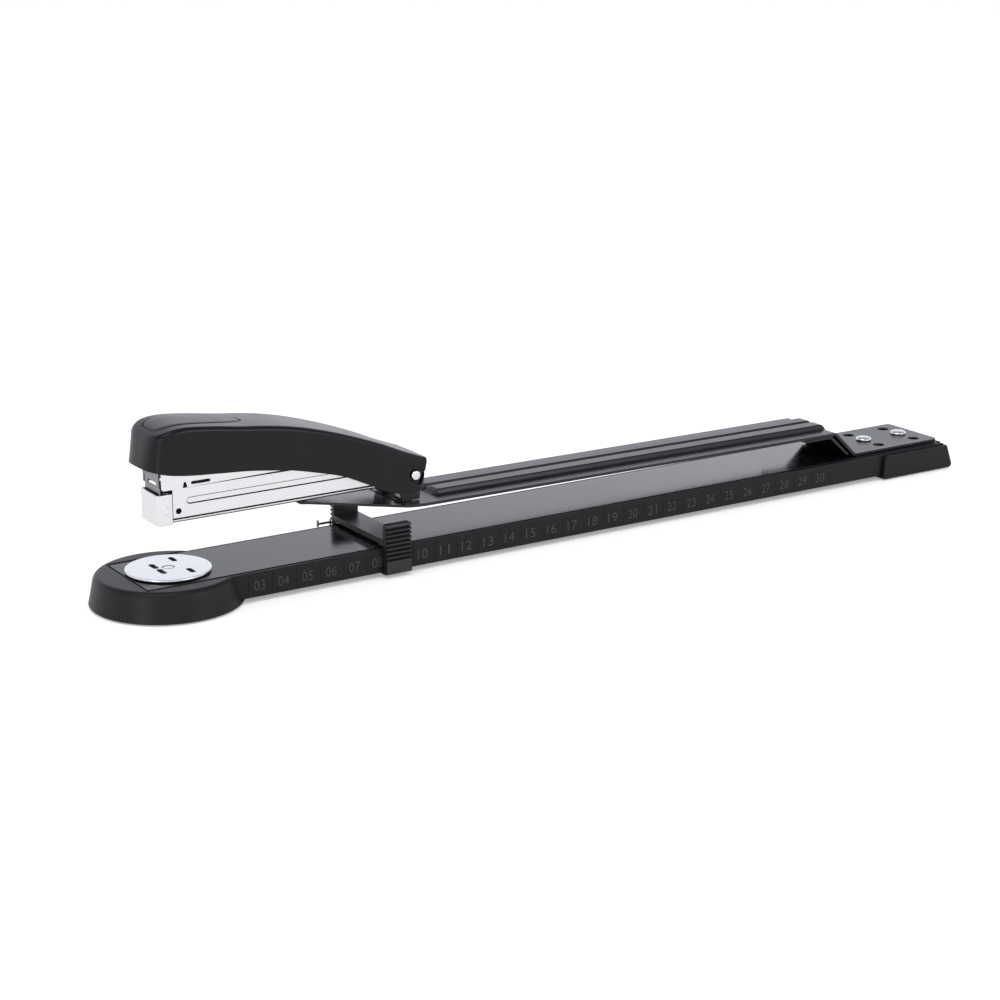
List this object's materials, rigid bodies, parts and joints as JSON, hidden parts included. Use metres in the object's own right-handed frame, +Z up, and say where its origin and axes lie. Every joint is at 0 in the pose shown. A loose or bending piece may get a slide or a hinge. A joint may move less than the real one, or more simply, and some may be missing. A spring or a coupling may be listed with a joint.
{
  "type": "long reach stapler",
  "caption": "Long reach stapler: ruled steel base, ribbed steel arm riveted at the rear, hinged head, turning anvil disc and sliding paper guide.",
  "frame": {"origin": "middle of the footprint, on the plane the feet stand on", "axes": "+Y along the base from the stapling head to the rear rivets, +X across it towards the ruled side with the guide's plain grip, +Z up"},
  "size_m": [0.0574, 0.404, 0.0684],
  "materials": {
    "black_paint": "gloss",
    "channel_plastic": "satin",
    "foot_plastic": "satin",
    "cover_plastic": "satin",
    "pad_plastic": "matte",
    "pad_rubber": "matte",
    "nickel": "satin",
    "rivet_steel": "satin",
    "spring_steel": "satin",
    "staple_wire": "satin"
  },
  "bodies": {
    "base": {"base_channel": "channel_plastic", "base_plate": "black_paint", "front_foot": "foot_plastic", "front_pad_1": "pad_rubber", "front_pad_2": "pad_rubber", "front_pad_3": "pad_rubber", "rear_foot": "foot_plastic", "rear_pad_1": "pad_rubber", "rear_pad_2": "pad_rubber", "anvil_spring": "spring_steel", "long_arm": "black_paint", "arm_reinforcement": "black_paint", "rear_rivet_1": "rivet_steel", "rear_rivet_2": "rivet_steel", "hinge_ear_left": "black_paint", "hinge_ear_right": "black_paint", "ear_rivet_left": "black_paint", "ear_rivet_right": "black_paint", "hinge_pin": "rivet_steel"},
    "anvil_button": {"anvil_post": "rivet_steel"},
    "anvil": {"anvil_disc": "nickel"},
    "guide": {"guide_slider": "channel_plastic", "guide_spring": "spring_steel", "guide_pointer": "nickel"},
    "tongue": {"lift_tongue": "black_paint"},
    "magazine": {"magazine_channel": "nickel", "nose_cap": "nickel", "staple_rail": "spring_steel", "staple_strip": "staple_wire", "magazine_cross_pin": "rivet_steel", "pusher_rod": "spring_steel", "pusher_spring": "spring_steel"},
    "pusher": {"pusher": "spring_steel"},
    "handle": {"handle_frame": "nickel", "driver_blade": "spring_steel", "handle_cover": "cover_plastic", "handle_pad": "pad_plastic", "return_spring": "spring_steel"}
  },
  "joints": [
    {"name": "anvil_lift", "type": "slide", "parent": "base", "child": "anvil_button", "axis": [0, 0, 1], "range_m": [0, 0.0012], "stiffness_N_per_m": 400, "springref_m": -0.003, "deforming": ["anvil_spring"]},
    {"name": "anvil_turn", "type": "hinge", "parent": "anvil_button", "child": "anvil", "pos_m": [0, -0.1724, 0.0121], "axis": [0, 0, 1], "range_deg": [0, 180]},
    {"name": "guide_slide", "type": "slide", "parent": "base", "child": "guide", "axis": [0, 1, 0], "range_m": [-0.054, 0.216]},
    {"name": "magazine_hinge", "type": "hinge", "parent": "base", "child": "magazine", "pos_m": [0, -0.0739, 0.0362], "axis": [1, 0, 0], "range_deg": [0, 9], "stiffness_Nm_per_rad": 3, "springref_deg": -5.73},
    {"name": "tongue_flex", "type": "hinge", "parent": "base", "child": "tongue", "pos_m": [0, -0.0794, 0.0248], "axis": [1, 0, 0], "range_deg": [0, 11.6]},
    {"name": "pusher_slide", "type": "slide", "parent": "magazine", "child": "pusher", "axis": [0, 1, 0], "range_m": [0, 0.028], "stiffness_N_per_m": 40, "springref_m": -0.02, "deforming": ["pusher_spring"]},
    {"name": "handle_hinge", "type": "hinge", "parent": "magazine", "child": "handle", "pos_m": [0, -0.0739, 0.0362], "axis": [1, 0, 0], "range_deg": [-60, 4.2], "stiffness_Nm_per_rad": 1.5, "springref_deg": -1.15, "deforming": ["return_spring"]}
  ],
  "couplings": [
    {"joint": "tongue_flex", "follows": "magazine_hinge", "ratio": 1.18}
  ]
}
